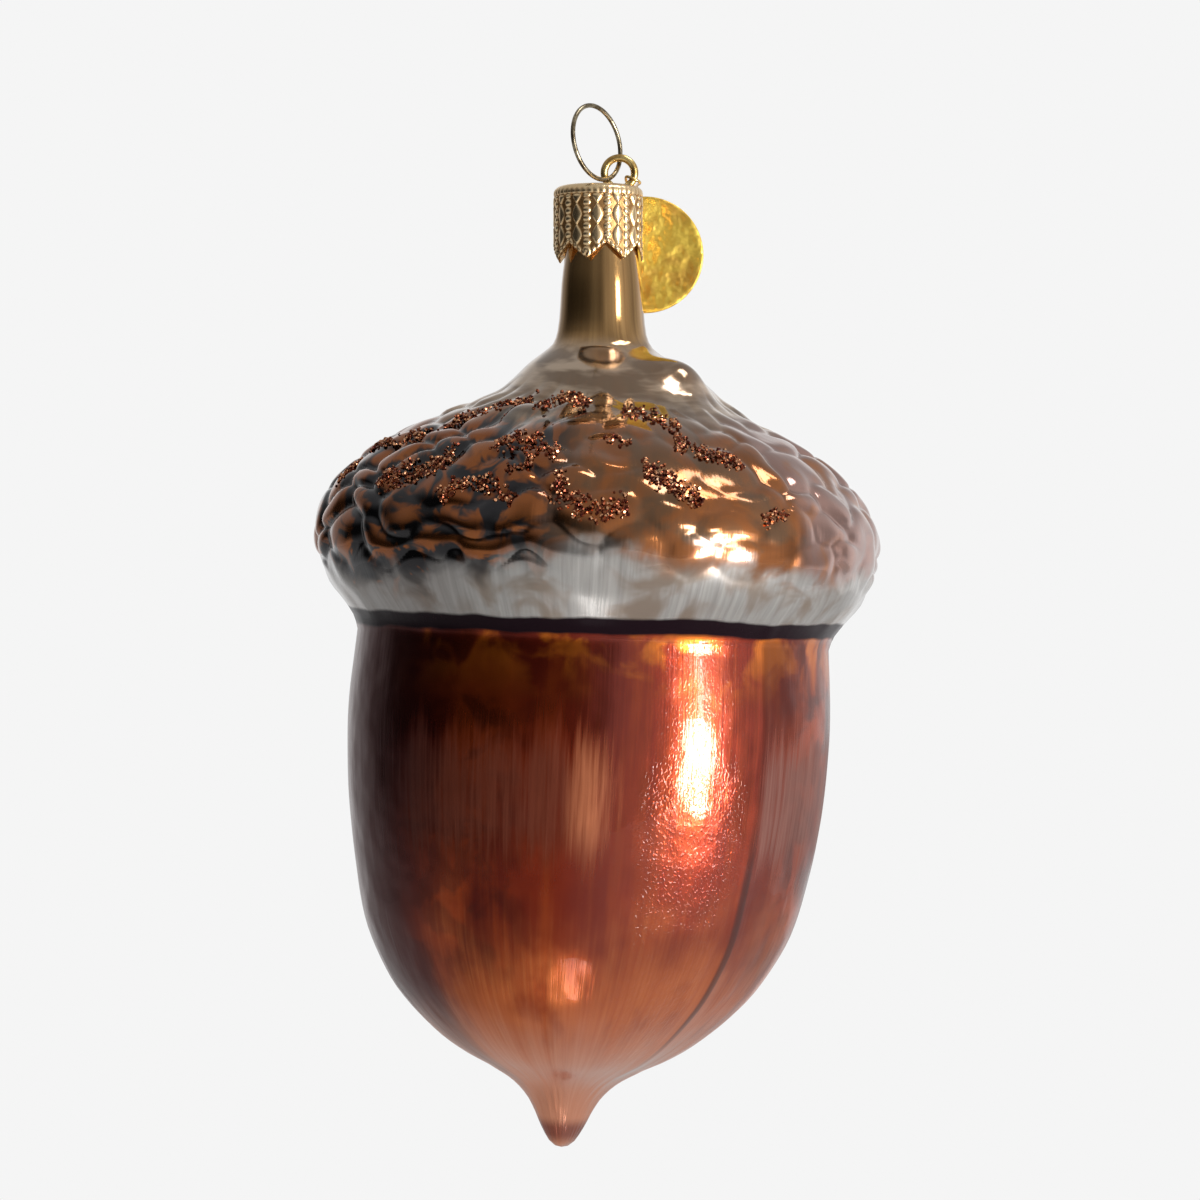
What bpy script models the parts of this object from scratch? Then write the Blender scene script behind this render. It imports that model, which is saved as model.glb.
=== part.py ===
"""A hanging glass acorn: a blown, silvered body under a stamped crown cap, with its wire eye,
a loose thread ring and a round tag on a thin wire.

Metres, +Z up, +Y to the back. The origin is the top of the eye's hole, where the acorn hangs.
"""

import math

import bmesh
import bpy
import numpy as np
from mathutils import Matrix, Vector

MM = 0.001

# Where the glass body stands under the eye
BODY_X = -0.5 * MM
GROOVE_Z = -56.9 * MM

# Outline of the glass in mm: radius, height above the groove between cup and nut
NECK_OUTLINE = [(4.15, 53.3), (4.15, 48.0), (4.36, 45.6), (4.74, 42.5), (4.98, 38.8), (5.2, 36.6)]
CUP_OUTLINE = [
    (5.2, 36.6), (6.0, 34.9), (9.5, 32.5), (11.8, 30.6), (13.8, 28.8), (16.9, 27.1), (20.8, 25.3),
    (24.0, 23.6), (27.0, 21.6), (29.2, 19.6), (31.4, 17.0), (32.5, 14.5), (32.9, 12.0), (32.6, 9.6),
    (31.3, 6.3), (29.6, 4.0), (28.2, 2.2), (27.7, 0.6),
]
NUT_OUTLINE = [
    (27.7, 0.6), (28.0, -3.0), (28.3, -8.0), (28.2, -13.0), (27.7, -19.5), (26.5, -27.0),
    (24.9, -33.4), (22.1, -38.8), (19.4, -42.2), (15.7, -45.7), (12.4, -48.0), (9.3, -49.6),
]
TIP_OUTLINE = [
    (9.3, -49.6), (6.4, -51.3), (4.5, -53.1), (3.4, -54.9), (2.6, -56.6), (1.6, -58.3), (0.8, -59.0),
]
TIP_END = -59.2
NECK_BANDS, NUT_BANDS, TIP_BANDS = 3, 8, 5
BORE_BANDS = (3, 7, 5)
BORE_STEPS = 36
BODY_WALL = 1.0 * MM
NECK_WALL = 0.7 * MM
NECK_WALL_ABOVE, BODY_WALL_BELOW = 48.0, 34.0
BORE_END = -52.0
BORE_PAST_RIM = 2.0

# The neck leans to the left above one height, the shoulder sits to the right about the next, and
# the nut is drawn to the left below the last
NECK_LEAN = math.radians(2.7)
NECK_BEND = 22.5
NECK_BEND_SPREAD = 2.0
SHOULDER_SET = 1.05
SHOULDER_MIDDLE, SHOULDER_SPREAD = 30.3, 3.2
TIP_PULL = 0.95
TIP_BEND = -38.0
TIP_BEND_SPREAD = 5.0

# Scales pressed into the cup
SCALES_ROUND = 26
SCALE_ROWS = 7
SCALES_TOP, SCALES_FOOT = 30.9, 7.0
SCALE_HEIGHT = 1.05 * MM
SCALE_ROW_GROWTH = 0.42
SCALE_WIDTH = 0.54
SCALE_LENGTH = 0.70
STEPS_PER_SCALE = 4
BANDS_PER_ROW = 4
SHOULDER_BANDS, RIM_BANDS = 3, 3
SCALE_VALLEY = 0.45
# Shares of the scaled band over which the relief fades in at the top, grows to its full height
# and fades out at the foot
FADE_IN, GROWN, FADE_OUT = 0.12, (0.1, 0.5), 0.10
FIRST_SHARE = 0.35
# The scales are low on one side, and each is a little higher or lower than the next
SOFT_SIDE = math.radians(-66.0)
SOFT_SPREAD = math.radians(30.0)
SOFT_SHARE = 0.75
UNEVEN_WIDE, UNEVEN_NARROW = 0.18, 0.12

# A blown swelling on the right of the shoulder, and the ridge that the mould's two halves leave
SWELL_AT = (8.0, -6.7, 31.8)
SWELL_HEIGHT = 1.1 * MM
SWELL_SPREAD = 3.3
SEAM_ANGLE = math.radians(-46.0)
SEAM_HEIGHT = 0.12 * MM
SEAM_WIDTH = 0.9
SEAM_TOP, SEAM_FADE = 34.0, 4.0

# Crown cap of thin metal over the neck
CAP_RADIUS = 5.25 * MM
CAP_WALL = 0.22 * MM
CAP_TOP = Vector((-2.42, 0.0, -3.0)) * MM
CAP_FLAT = 4.0 * MM
CAP_SHOULDER = 0.9 * MM
CAP_SKIRT = 7.0 * MM
CAP_TEETH = 7
TOOTH_DEPTH = 1.9 * MM
TOOTH_PHASE = math.radians(-15.0)
CAP_STEPS = 84
SLOT_LENGTH = 3.7 * MM
SLOT_WIDTH = 2.0 * MM
SLOT_DEPTH = 2.0 * MM
SLOT_STEPS = 24

# Wire eye, standing in the plane of the view
EYE_WIRE = 0.9 * MM
EYE_RADIUS = 1.78 * MM
EYE_Z = EYE_WIRE / 2 - EYE_RADIUS
EYE_OPEN = math.radians(-55.0)
RIGHT_LEG = [(0.82, -3.2), (0.72, -3.9), (0.74, -5.5), (0.85, -8.0), (1.0, -11.0)]
LEFT_LEG = [(-0.84, -3.2), (-0.95, -3.9), (-1.7, -5.5), (-2.9, -8.0), (-4.1, -11.0)]

# Thread ring, leaning on the front of the cap with its far side through the eye
RING_WIRE = 0.55 * MM
RING_RADIUS = 4.34 * MM
RING_CENTRE = Vector((-2.82, -2.2, 1.87)) * MM
RING_TURN = math.radians(39.0)
RING_LEAN = math.radians(-9.0)
RING_STEPS = 56
RING_PIVOT = Vector((0.0, 0.0, -1.33)) * MM

# Round tag behind the neck
TAG_RADIUS = 6.95 * MM
TAG_THICK = 0.4 * MM
TAG_CENTRE = Vector((3.5, 5.85, -10.3)) * MM
TAG_LEAN = math.radians(-15.7)
TAG_HOLE = 0.72 * MM
TAG_HOLE_OUT = 5.58 * MM
TAG_BRIDGE_OUT = 6.62 * MM

# Thin wire that ties the tag to the eye: through the eye, back over the cap, round the tag's edge
TIE_WIRE = 0.34 * MM
TIE_ROUTE = [
    (1.62, -0.88, -2.02), (0.92, -0.45, -1.76), (0.78, 0.55, -1.94), (0.98, 2.3, -2.33),
    (1.25, 4.0, -2.36), (1.50, 4.90, -2.95), (1.70, 5.03, -3.90), (1.80, 5.38, -4.50),
    (1.86, 5.85, -4.70), (1.86, 6.32, -4.50), (1.86, 6.66, -3.90), (1.92, 6.50, -3.10),
    (2.05, 5.80, -2.45), (2.20, 4.0, -2.24), (2.40, 2.0, -2.28), (2.46, 0.55, -2.30),
    (2.28, -0.52, -2.24),
]

# Steps in a quarter of each wire's round section, less one
WIRE_STEPS = 2


def clear_scene():
    for obj in list(bpy.data.objects):
        bpy.data.objects.remove(obj, do_unlink=True)


def new_collection(name):
    collection = bpy.data.collections.new(name)
    bpy.context.scene.collection.children.link(collection)
    return collection


def finish(name, colour, roughness, metallic):
    material = bpy.data.materials.new(name)
    material.use_nodes = True
    shader = material.node_tree.nodes["Principled BSDF"]
    shader.inputs["Base Color"].default_value = (*colour, 1.0)
    shader.inputs["Roughness"].default_value = roughness
    shader.inputs["Metallic"].default_value = metallic
    return material


def smooth_line(points, steps_per_span, closed=False):
    """Points along a Catmull-Rom curve through the given ones."""
    points = [np.array(point, float) for point in points]
    count = len(points)
    line = []
    for i in range(count if closed else count - 1):
        if closed:
            a, b, c, d = (points[(i + k) % count] for k in (-1, 0, 1, 2))
        else:
            b, c = points[i], points[i + 1]
            a = points[i - 1] if i else 2 * b - c
            d = points[i + 2] if i + 2 < count else 2 * c - b
        for t in np.arange(steps_per_span) / steps_per_span:
            line.append(
                b + 0.5 * t * (c - a + t * (2 * a - 5 * b + 4 * c - d + t * (3 * (b - c) + d - a)))
            )
    if not closed:
        line.append(points[-1])
    return np.array(line)


def arc_lengths(line):
    return np.concatenate([[0.0], np.cumsum(np.linalg.norm(np.diff(line, axis=0), axis=1))])


def even_line(points, bands):
    """The smooth curve through the points, cut into bands of one length."""
    line = smooth_line(points, 24)
    along = arc_lengths(line)
    wanted = np.linspace(0.0, along[-1], bands + 1)
    return np.stack([np.interp(wanted, along, line[:, k]) for k in range(2)], axis=1)


def at_height(line, values, height):
    """The value that goes with this height on a line that runs downwards."""
    return float(np.interp(-height, -line[:, 1], values))


def scale_row(height):
    """The row of scales at this height, counted down the cup, and the share of the scales above it."""
    top, here, foot = (at_height(CUP_LINE, CUP_ALONG, h) for h in (SCALES_TOP, height, SCALES_FOOT))
    t = (here - top) / (foot - top)
    return SCALE_ROWS * ((1 - SCALE_ROW_GROWTH) * t + SCALE_ROW_GROWTH * t * t), t


def cup_bands():
    """Points down the cup, the same number to each row of scales."""
    rows = np.array([scale_row(height)[0] for height in CUP_LINE[:, 1]])
    marks = np.concatenate([
        np.linspace(rows[0], 0.0, SHOULDER_BANDS, endpoint=False),
        np.linspace(0.0, SCALE_ROWS, SCALE_ROWS * BANDS_PER_ROW, endpoint=False),
        np.linspace(SCALE_ROWS, rows[-1], RIM_BANDS + 1),
    ])
    return np.stack([np.interp(marks, rows, CUP_LINE[:, k]) for k in range(2)], axis=1)


CUP_LINE = even_line(CUP_OUTLINE, 90)
CUP_ALONG = arc_lengths(CUP_LINE)


def outward(outline):
    """Unit normals of an outline that runs downwards."""
    run = np.gradient(outline, axis=0)
    normal = np.stack([-run[:, 1], run[:, 0]], axis=1)
    return normal / np.linalg.norm(normal, axis=1)[:, None]


def axis_shift(height):
    """How far the glass's middle lies to the right of its axis at this height, both in mm."""
    rise = height - NECK_BEND
    lean = -math.tan(NECK_LEAN) * (rise + math.hypot(rise, NECK_BEND_SPREAD)) / 2
    shoulder = SHOULDER_SET * math.exp(-(((height - SHOULDER_MIDDLE) / SHOULDER_SPREAD) ** 2))
    fall = 1 / (1 + math.exp((height - TIP_BEND) / TIP_BEND_SPREAD))
    return lean + shoulder - TIP_PULL * fall


def scale_field(turn, row):
    """0 in the valleys and 1 on the crests of staggered, rounded scales."""
    best = 0.0
    for k in (math.floor(row), math.floor(row) + 1):
        across = turn * SCALES_ROUND + 0.5 * (k % 2)
        beside = (across - round(across)) / SCALE_WIDTH
        along = (row - k) / SCALE_LENGTH
        best = max(best, 1 - beside**2 - along**2)
    return best


def share(value, start, end):
    """0 at the start, 1 at the end, and straight between."""
    return min(max((value - start) / (end - start), 0.0), 1.0)


def scale_height(angle, row, t):
    """Height of the scales' crests over their valleys here, in metres."""
    fade = share(t, 0.0, FADE_IN) * share(1.0 - t, 0.0, FADE_OUT)
    soft = SOFT_SHARE * math.exp(-(((angle - SOFT_SIDE) / SOFT_SPREAD) ** 2))
    upper = FIRST_SHARE + (1 - FIRST_SHARE) * share(t, *GROWN)
    wide = UNEVEN_WIDE * math.sin(3 * angle + 1.1 * row)
    narrow = UNEVEN_NARROW * math.sin(5 * angle - 0.7 * row)
    return SCALE_HEIGHT * fade * upper * (1 - soft) * (1 + wide + narrow)


def relief(angle, radius, height):
    """How far the surface stands proud of the turned outline here, in metres."""
    row, t = scale_row(height)
    high = scale_height(angle, row, t) * (scale_field(angle / math.tau, row) - SCALE_VALLEY)
    x, y = radius * math.cos(angle), radius * math.sin(angle)
    away = math.dist((x, y, height), SWELL_AT) / SWELL_SPREAD
    high += SWELL_HEIGHT * math.exp(-away * away)
    for seam in (SEAM_ANGLE, SEAM_ANGLE + math.pi):
        off = math.remainder(angle - seam, math.tau) * radius / SEAM_WIDTH
        high += SEAM_HEIGHT * math.exp(-off * off) * share(SEAM_TOP - height, 0.0, SEAM_FADE)
    return float(high)


def turned(name, outline, steps, collection):
    """A body turned about Z from radius and height points in metres, top to bottom."""
    mesh = bpy.data.meshes.new(name)
    corners = [(radius, 0.0, height) for radius, height in outline]
    mesh.from_pydata(corners, [(i, i + 1) for i in range(len(corners) - 1)], [])
    obj = bpy.data.objects.new(name, mesh)
    collection.objects.link(obj)
    screw = obj.modifiers.new("turn", "SCREW")
    screw.steps = steps
    screw.render_steps = steps
    screw.use_merge_vertices = True
    screw.merge_threshold = 0.000001
    return settle(obj)


def settle(obj):
    """The object as a plain mesh, with its modifiers applied and its doubles merged."""
    bpy.context.view_layer.update()
    graph = bpy.context.evaluated_depsgraph_get()
    mesh = bpy.data.meshes.new_from_object(obj.evaluated_get(graph))
    work = bmesh.new()
    work.from_mesh(mesh)
    bmesh.ops.remove_doubles(work, verts=work.verts, dist=0.0000005)
    work.to_mesh(mesh)
    work.free()
    name = obj.name
    plain = bpy.data.objects.new(name, mesh)
    plain.matrix_world = obj.matrix_world
    for collection in obj.users_collection:
        collection.objects.link(plain)
    bpy.data.objects.remove(obj, do_unlink=True)
    plain.name = name
    return plain


def make_cutter(obj):
    obj.hide_render = True
    obj.display_type = "WIRE"


def cut(obj, cutter):
    make_cutter(cutter)
    boolean = obj.modifiers.new("cut", "BOOLEAN")
    boolean.operation = "DIFFERENCE"
    boolean.object = cutter


def wire(name, points, diameter, origin, collection, material, closed=False):
    """A round wire through the points, as a curve whose origin is the given place."""
    data = bpy.data.curves.new(name, "CURVE")
    data.dimensions = "3D"
    data.bevel_depth = diameter / 2
    data.bevel_resolution = WIRE_STEPS
    data.use_fill_caps = True
    spline = data.splines.new("POLY")
    spline.points.add(len(points) - 1)
    for place, point in zip(spline.points, points):
        place.co = (*(Vector(point) - origin), 1.0)
    spline.use_cyclic_u = closed
    spline.use_smooth = True
    obj = bpy.data.objects.new(name, data)
    obj.location = origin
    data.materials.append(material)
    collection.objects.link(obj)
    return obj


def make_glass(parts, cutters, material):
    """The neck, cup and nut, blown in one piece and open at the neck's rim."""
    neck, nut = even_line(NECK_OUTLINE, NECK_BANDS), even_line(NUT_OUTLINE, NUT_BANDS)
    tip = even_line(TIP_OUTLINE, TIP_BANDS)
    side = np.concatenate([neck, cup_bands()[1:], nut[1:], tip[1:]])
    normals = outward(side)
    solid = np.concatenate([[(0.0, side[0, 1])], side, [(0.0, TIP_END)]])
    glass = turned("glass", solid * MM, SCALES_ROUND * STEPS_PER_SCALE, parts)
    for vertex in glass.data.vertices:
        height = vertex.co.z / MM
        radius = math.hypot(vertex.co.x, vertex.co.y) / MM
        if NUT_OUTLINE[-1][1] < height < CUP_OUTLINE[0][1]:
            angle = math.atan2(vertex.co.y, vertex.co.x)
            out, up = (at_height(side, normals[:, k], height) for k in range(2))
            proud = relief(angle, radius, height)
            vertex.co += Vector((out * math.cos(angle), out * math.sin(angle), up)) * proud
        vertex.co.x += BODY_X + axis_shift(height) * MM
        vertex.co.z += GROOVE_Z
    cut(glass, make_bore(cutters))
    glass.data.materials.clear()
    glass.data.materials.append(material)
    glass.data.shade_smooth()
    return glass


def make_bore(cutters):
    """The hollow of the glass, one wall in from its outside and out through the neck's rim."""
    neck, cup, nut = (
        even_line(line, bands) for line, bands in zip((NECK_OUTLINE, CUP_OUTLINE, NUT_OUTLINE), BORE_BANDS)
    )
    outline = np.concatenate([neck, cup[1:], nut[1:]])
    normals = outward(outline)
    heights = outline[:, 1]
    walls = np.interp(-heights, [-NECK_WALL_ABOVE, -BODY_WALL_BELOW], [NECK_WALL / MM, BODY_WALL / MM])
    inner = outline - normals * walls[:, None]
    inner[0, 1] = heights[0] + BORE_PAST_RIM
    solid = np.concatenate([[(0.0, inner[0, 1])], inner, [(0.0, BORE_END)]])
    bore = turned("glass_bore", solid * MM, BORE_STEPS, cutters)
    for vertex in bore.data.vertices:
        vertex.co.x += BODY_X + axis_shift(vertex.co.z / MM) * MM
        vertex.co.z += GROOVE_Z
    return bore


def cap_outline():
    """Inside and outside of the cap's wall, each from hem to middle or from middle to hem."""
    bend = CAP_RADIUS - CAP_FLAT
    outer = [(0.0, 0.0), (CAP_FLAT, 0.0)]
    for quarter in (1 / 3, 2 / 3, 1.0):
        turn = quarter * math.pi / 2
        outer.append((CAP_FLAT + bend * math.sin(turn), -CAP_SHOULDER * (1 - math.cos(turn))))
    inner = [(max(radius - CAP_WALL, 0.0), height - CAP_WALL) for radius, height in outer]
    for height in (-CAP_SKIRT / 2, -CAP_SKIRT):
        outer.append((CAP_RADIUS, height))
        inner.append((CAP_RADIUS - CAP_WALL, height))
    return inner[::-1], outer


def tooth(angle):
    """0 at a notch between the cap's pointed teeth and 1 at a tooth's tip."""
    place = (angle - TOOTH_PHASE + math.pi / 2) * CAP_TEETH / math.tau
    return 1 - 2 * abs(place - round(place))


def make_cap(parts, cutters, material):
    """The crown cap: a thin cup with a pointed hem and a slot for the eye's two legs."""
    inner, outer = cap_outline()
    cap = turned("cap", inner[::-1] + outer[::-1], CAP_STEPS, parts)
    mend_normals(cap)
    for vertex in cap.data.vertices:
        if vertex.co.z < -0.99 * CAP_SKIRT:
            vertex.co.z -= TOOTH_DEPTH * tooth(math.atan2(vertex.co.y, vertex.co.x))
    lean = Matrix.Rotation(-NECK_LEAN, 4, "Y")
    cap.data.transform(Matrix.Translation(CAP_TOP) @ lean)
    cut(cap, make_slot(cutters))
    cap.data.materials.clear()
    cap.data.materials.append(material)
    cap.data.shade_smooth()
    cap.data.set_sharp_from_angle(angle=math.radians(35))
    return cap


def mend_normals(obj):
    work = bmesh.new()
    work.from_mesh(obj.data)
    bmesh.ops.recalc_face_normals(work, faces=work.faces)
    work.to_mesh(obj.data)
    work.free()


def make_slot(cutters):
    mesh = bpy.data.meshes.new("cap_slot")
    work = bmesh.new()
    radius = SLOT_WIDTH / 2
    bmesh.ops.create_cone(
        work, cap_ends=True, segments=SLOT_STEPS, radius1=radius, radius2=radius, depth=SLOT_DEPTH
    )
    bmesh.ops.scale(work, vec=(SLOT_LENGTH / SLOT_WIDTH, 1.0, 1.0), verts=work.verts)
    bmesh.ops.translate(work, vec=(0.0, 0.0, CAP_TOP.z), verts=work.verts)
    work.to_mesh(mesh)
    work.free()
    slot = bpy.data.objects.new("cap_slot", mesh)
    cutters.objects.link(slot)
    return slot


def make_hanger(parts, material):
    """One wire: a leg, round the eye, and the other leg, both splayed inside the neck."""
    turns = np.linspace(EYE_OPEN, math.pi - EYE_OPEN, 25)
    eye = [(EYE_RADIUS * math.cos(a), 0.0, EYE_Z + EYE_RADIUS * math.sin(a)) for a in turns]
    right = smooth_line([np.array((x, 0.0, z)) * MM for x, z in RIGHT_LEG], 3)
    left = smooth_line([np.array((x, 0.0, z)) * MM for x, z in LEFT_LEG], 3)
    points = list(right[::-1]) + eye + list(left)
    return wire("hanger", points, EYE_WIRE, Vector(), parts, material)


def make_ring(parts, material):
    """The thread ring, closed, with its origin on the axis it tilts about in the eye."""
    across = Vector((math.sin(RING_TURN), math.cos(RING_TURN), 0.0))
    upward = Vector((math.sin(RING_LEAN), 0.0, math.cos(RING_LEAN)))
    points = []
    for step in range(RING_STEPS):
        turn = math.tau * step / RING_STEPS
        reach = math.cos(turn) * across + math.sin(turn) * upward
        points.append(RING_CENTRE + RING_RADIUS * reach)
    return wire("ring", points, RING_WIRE, RING_PIVOT, parts, material, closed=True)


def tag_place(out):
    """A point on the line from the tag's middle through its hole."""
    return TAG_CENTRE + out * Vector((math.sin(TAG_LEAN), 0.0, math.cos(TAG_LEAN)))


def disc(name, radius, thickness, centre, segments, collection):
    """A flat round plate that faces the front."""
    mesh = bpy.data.meshes.new(name)
    work = bmesh.new()
    bmesh.ops.create_cone(
        work, cap_ends=True, segments=segments, radius1=radius, radius2=radius, depth=thickness
    )
    bmesh.ops.rotate(work, cent=(0, 0, 0), matrix=Matrix.Rotation(math.pi / 2, 3, "X"), verts=work.verts)
    bmesh.ops.translate(work, vec=centre, verts=work.verts)
    work.to_mesh(mesh)
    work.free()
    obj = bpy.data.objects.new(name, mesh)
    collection.objects.link(obj)
    return obj


def make_tag(parts, cutters, material):
    """The round tag, with its origin in the narrow bridge above its hole, where it swings."""
    pivot = tag_place(TAG_BRIDGE_OUT)
    tag = disc("tag", TAG_RADIUS, TAG_THICK, TAG_CENTRE - pivot, 64, parts)
    tag.location = pivot
    hole = disc("tag_hole", TAG_HOLE, 4 * TAG_THICK, tag_place(TAG_HOLE_OUT), 20, cutters)
    cut(tag, hole)
    tag.data.materials.append(material)
    tag.data.shade_smooth()
    tag.data.set_sharp_from_angle(angle=math.radians(35))
    return tag


def make_tie(parts, material):
    """The closed loop of thin wire from the eye to the tag."""
    points = smooth_line([np.array(point) * MM for point in TIE_ROUTE], 3, closed=True)
    return wire("tag_wire", points, TIE_WIRE, Vector(), parts, material, closed=True)


def main():
    clear_scene()
    parts = new_collection("glass_acorn_ornament")
    cutters = new_collection("cutters")
    lacquer = finish("lacquered_glass", (0.33, 0.10, 0.04), 0.18, 0.85)
    stamped = finish("stamped_gold", (0.80, 0.56, 0.30), 0.28, 1.0)
    brass = finish("brass_wire", (0.66, 0.50, 0.22), 0.25, 1.0)
    dull = finish("dull_wire", (0.42, 0.38, 0.28), 0.35, 1.0)
    foil = finish("tag_gold", (0.86, 0.60, 0.16), 0.22, 1.0)
    make_glass(parts, cutters, lacquer)
    make_cap(parts, cutters, stamped)
    make_hanger(parts, brass)
    make_ring(parts, dull)
    make_tag(parts, cutters, foil)
    make_tie(parts, brass)


main()
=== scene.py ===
"""Looks of a hanging glass acorn: silvered and lacquered glass with glitter, a stamped crown cap,
a wire eye with its thread ring, and a round tag on a thin wire.

Metres, +Z up, +Y to the back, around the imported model. Heights on the glass are in mm above the
groove between cup and nut, and angles run round its axis from +X, so that the front is at -90.
"""

import math
import random

import bmesh
import bpy
import numpy as np
from mathutils import Matrix, Vector, noise


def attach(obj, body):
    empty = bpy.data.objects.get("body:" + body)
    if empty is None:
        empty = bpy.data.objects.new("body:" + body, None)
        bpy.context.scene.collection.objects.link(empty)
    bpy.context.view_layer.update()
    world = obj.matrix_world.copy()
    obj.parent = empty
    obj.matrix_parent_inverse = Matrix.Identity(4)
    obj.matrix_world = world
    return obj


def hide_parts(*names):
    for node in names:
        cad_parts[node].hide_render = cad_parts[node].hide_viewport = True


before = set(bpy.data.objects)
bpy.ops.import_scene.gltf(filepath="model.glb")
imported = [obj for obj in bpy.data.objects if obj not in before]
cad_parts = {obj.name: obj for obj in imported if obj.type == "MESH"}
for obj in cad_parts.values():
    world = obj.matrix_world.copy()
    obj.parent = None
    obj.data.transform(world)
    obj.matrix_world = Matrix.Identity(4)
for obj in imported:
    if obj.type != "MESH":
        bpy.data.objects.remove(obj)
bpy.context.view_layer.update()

MM = 0.001

# Camera: level, straight at the front, and rolled with the acorn
CAMERA_AT = Vector((0.078, -470.6, -51.62)) * MM
CAMERA_ROLL = math.radians(2.7)
CAMERA_LENS, CAMERA_SENSOR = 120.0, 36.0

# Where the glass stands under the eye
BODY_X = -0.5
GROOVE_Z = -56.9

# Outline of the glass: radius, height
NECK_OUTLINE = [(4.15, 53.3), (4.15, 48.0), (4.36, 45.6), (4.74, 42.5), (4.98, 38.8), (5.2, 36.6)]
CUP_OUTLINE = [
    (5.2, 36.6), (6.0, 34.9), (9.5, 32.5), (11.8, 30.6), (13.8, 28.8), (16.9, 27.1), (20.8, 25.3),
    (24.0, 23.6), (27.0, 21.6), (29.2, 19.6), (31.4, 17.0), (32.5, 14.5), (32.9, 12.0), (32.6, 9.6),
    (31.3, 6.3), (29.6, 4.0), (28.2, 2.2), (27.7, 0.6),
]
NUT_OUTLINE = [
    (27.7, 0.6), (28.0, -3.0), (28.3, -8.0), (28.2, -13.0), (27.7, -19.5), (26.5, -27.0),
    (24.9, -33.4), (22.1, -38.8), (19.4, -42.2), (15.7, -45.7), (12.4, -48.0), (9.3, -49.6),
]
TIP_OUTLINE = [
    (9.3, -49.6), (6.4, -51.3), (4.5, -53.1), (3.4, -54.9), (2.6, -56.6), (1.6, -58.3), (0.8, -59.0),
]
TIP_END = -59.2
NECK_WALL, BODY_WALL = 0.6, 1.9
NECK_WALL_ABOVE, BODY_WALL_BELOW = 38.0, 30.0
BORE_END = -52.0
NECK_BANDS, SHOULDER_BANDS, BANDS_PER_ROW, RIM_BANDS, NUT_BANDS, TIP_BANDS = 12, 12, 13, 8, 44, 14
BANDS_PER_BORE_BAND = 6
GLASS_STEPS = 416

# How far the neck leans, the shoulder sits over and the nut is drawn aside
NECK_LEAN = math.radians(2.7)
NECK_BEND, NECK_BEND_SPREAD = 22.5, 2.0
SHOULDER_SET, SHOULDER_MIDDLE, SHOULDER_SPREAD = 1.05, 30.3, 3.2
TIP_PULL, TIP_BEND, TIP_BEND_SPREAD = 0.95, -38.0, 5.0

# Scales pressed into the cup
SCALES_ROUND, SCALE_ROWS = 26, 7
SCALES_TOP, SCALES_FOOT = 30.9, 7.0
SCALE_HEIGHT = 1.05
SCALE_ROW_GROWTH = 0.42
SCALE_WIDTH, SCALE_LENGTH, SCALE_VALLEY = 0.54, 0.70, 0.45
FADE_IN, GROWN, FADE_OUT, FIRST_SHARE = 0.12, (0.1, 0.5), 0.10, 0.35
SOFT_SIDE, SOFT_SPREAD, SOFT_SHARE = math.radians(-66.0), math.radians(30.0), 0.75
UNEVEN_WIDE, UNEVEN_NARROW = 0.18, 0.12
WANDER_ROUND, WANDER_DOWN, WANDER_PITCH = 0.09, 0.85, 6.5
PATCHY, PATCH_PITCH = 0.9, 10.0
LUMP_HEIGHT, LUMP_PITCH = 0.42, 3.9
WAVE_HEIGHT, WAVE_PITCH = 0.16, 13.0
FULL_HEIGHT, SHARE_ABOVE = 0.35, 0.35
SWELL_AT, SWELL_HEIGHT, SWELL_SPREAD = (8.2, -6.9, 31.6), 1.6, 3.0
SEAM_ANGLE, SEAM_HEIGHT, SEAM_WIDTH = math.radians(-46.0), 0.12, 0.9
SEAM_TOP, SEAM_FADE = 34.0, 4.0

# Crown cap
CAP_RADIUS, CAP_WALL, CAP_FLAT, CAP_SHOULDER, CAP_SKIRT = 5.25, 0.22, 4.0, 0.9, 7.0
CAP_TOP = Vector((-2.42, 0.0, -3.0))
CAP_TEETH, TOOTH_DEPTH, TOOTH_PHASE = 7, 1.9, math.radians(-15.0)
SLOT_LENGTH, SLOT_WIDTH = 3.7, 2.0
CAP_STEPS = 420
COLUMNS_ROUND = 13
BEAD_SHARE = 0.40
LEAF_PITCH = 2.45
CRIMP_HEIGHT = 1.35
BEAD_PITCH = 0.93
BEAD_HIGH = 0.20
CRIMPS_ROUND, HEM_BEADS_PER_RADIAN = 46, 9.2

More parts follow.
